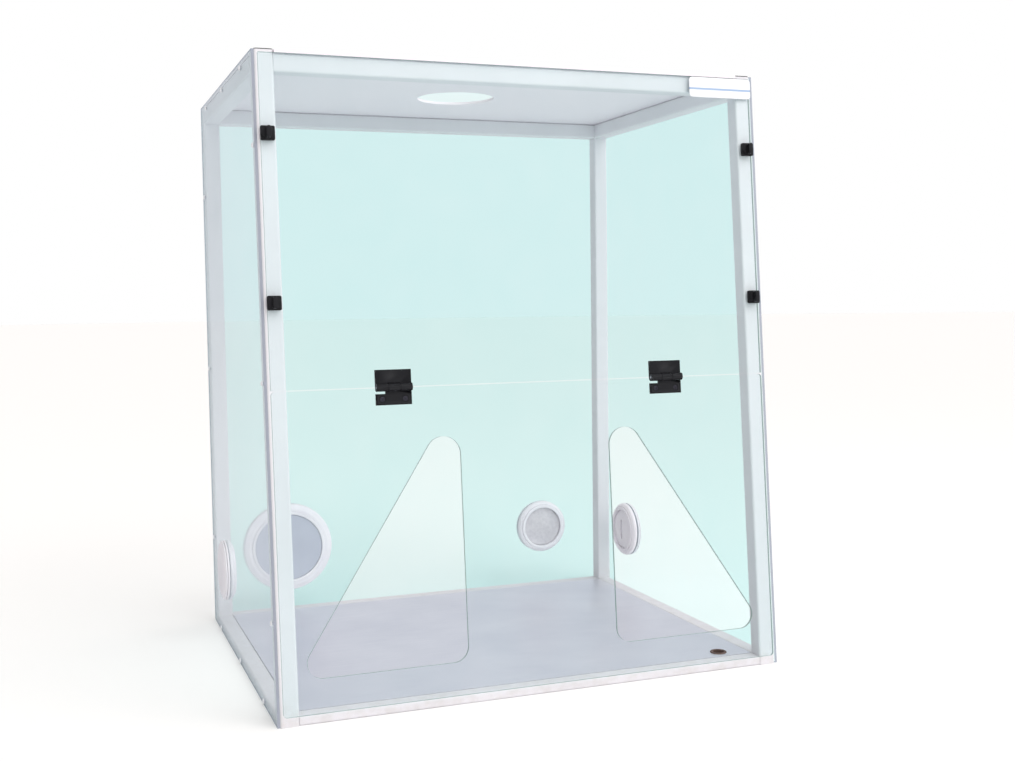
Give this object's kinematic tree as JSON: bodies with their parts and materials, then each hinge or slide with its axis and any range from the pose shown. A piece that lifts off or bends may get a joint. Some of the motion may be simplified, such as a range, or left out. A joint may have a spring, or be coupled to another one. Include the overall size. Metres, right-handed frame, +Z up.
{
  "type": "ventilated laboratory enclosure",
  "caption": "Clear-panelled bench-top laboratory enclosure with a leaning front, flip-up door with arm openings, capped wall ports and a ceiling duct hole.",
  "frame": {"origin": "middle of the overall box's underside, on the surface that the cabinet stands on", "axes": "+X to the right seen from the front, +Y from the front to the back, +Z up"},
  "size_m": [0.777, 0.6236, 0.8924],
  "materials": {
    "frame_coat": "white powder coat on steel tube",
    "clear_acrylic": "clear cast acrylic with a faint green tint",
    "ceiling_sheet": "satin light grey plastic sheet",
    "floor_sheet": "brushed steel sheet",
    "grommet": "brown moulded rubber",
    "label": "blank white plate",
    "screw_white": "white painted pan head",
    "steel": "plated steel",
    "black_plastic": "moulded black nylon",
    "port_plastic": "moulded grey-white polypropylene"
  },
  "bodies": {
    "cabinet": {"post_front_left": "frame_coat", "post_front_right": "frame_coat", "post_back_left": "frame_coat", "post_back_right": "frame_coat", "top_rail_front": "frame_coat", "top_rail_back": "frame_coat", "top_rail_left": "frame_coat", "top_rail_right": "frame_coat", "front_sill": "frame_coat", "base_rail_back": "frame_coat", "base_rail_left": "frame_coat", "base_rail_right": "frame_coat", "rail_plugs": "black_plastic", "post_caps": "black_plastic", "left_panel": "clear_acrylic", "right_panel": "clear_acrylic", "back_panel": "clear_acrylic", "ceiling_panel": "ceiling_sheet", "front_panel": "clear_acrylic", "floor_pan": "floor_sheet", "floor_grommet": "grommet", "label_plate": "label", "left_panel_screws": "screw_white", "right_panel_screws": "screw_white", "back_panel_screws": "screw_white", "ceiling_screws": "screw_white", "hinge_left_upper_leaf": "black_plastic", "hinge_left_pin": "steel", "hinge_right_upper_leaf": "black_plastic", "hinge_right_pin": "steel", "hinge_screws_upper": "steel", "latch_base_left_top": "black_plastic", "latch_base_left_mid": "black_plastic", "latch_base_right_top": "black_plastic", "latch_base_right_mid": "black_plastic", "port_large_flange": "port_plastic", "port_large_nut": "port_plastic", "port_small_flange": "port_plastic", "port_small_nut": "port_plastic", "port_left_flange": "port_plastic", "port_left_nut": "port_plastic", "port_right_flange": "port_plastic", "port_right_nut": "port_plastic"},
    "door": {"door_panel": "clear_acrylic", "hinge_left_lower_leaf": "black_plastic", "hinge_right_lower_leaf": "black_plastic", "hinge_screws_lower": "steel", "hinge_nuts_lower": "steel"},
    "knob_left_top": {"latch_knob_left_top": "black_plastic"},
    "knob_left_mid": {"latch_knob_left_mid": "black_plastic"},
    "knob_right_top": {"latch_knob_right_top": "black_plastic"},
    "knob_right_mid": {"latch_knob_right_mid": "black_plastic"},
    "cap_large": {"port_large_cap": "port_plastic"},
    "cap_small": {"port_small_cap": "port_plastic"},
    "cap_left": {"port_left_cap": "port_plastic"},
    "cap_right": {"port_right_cap": "port_plastic"}
  },
  "joints": [
    {"name": "door_flip", "type": "hinge", "parent": "cabinet", "child": "door", "pos_m": [0, -0.2826, 0.44001], "axis": [-1, 0, 0], "range_deg": [0, 165]},
    {"name": "knob_left_top_turn", "type": "hinge", "parent": "cabinet", "child": "knob_left_top", "pos_m": [-0.3623, -0.24885, 0.77806], "axis": [0, -0.9967, 0.0817], "range_deg": [0, 90]},
    {"name": "knob_left_mid_turn", "type": "hinge", "parent": "cabinet", "child": "knob_left_mid", "pos_m": [-0.3623, -0.26714, 0.55514], "axis": [0, -0.9967, 0.0817], "range_deg": [0, 90]},
    {"name": "knob_right_top_turn", "type": "hinge", "parent": "cabinet", "child": "knob_right_top", "pos_m": [0.3623, -0.24885, 0.77806], "axis": [0, -0.9967, 0.0817], "range_deg": [0, 90]},
    {"name": "knob_right_mid_turn", "type": "hinge", "parent": "cabinet", "child": "knob_right_mid", "pos_m": [0.3623, -0.26714, 0.55514], "axis": [0, -0.9967, 0.0817], "range_deg": [0, 90]},
    {"name": "cap_large_pull", "type": "slide", "parent": "cabinet", "child": "cap_large", "axis": [0, 1, 0], "range_m": [0, 0.03]},
    {"name": "cap_small_pull", "type": "slide", "parent": "cabinet", "child": "cap_small", "axis": [0, 1, 0], "range_m": [0, 0.03]},
    {"name": "cap_left_pull", "type": "slide", "parent": "cabinet", "child": "cap_left", "axis": [-1, 0, 0], "range_m": [0, 0.03]},
    {"name": "cap_right_pull", "type": "slide", "parent": "cabinet", "child": "cap_right", "axis": [1, 0, 0], "range_m": [0, 0.03]}
  ]
}
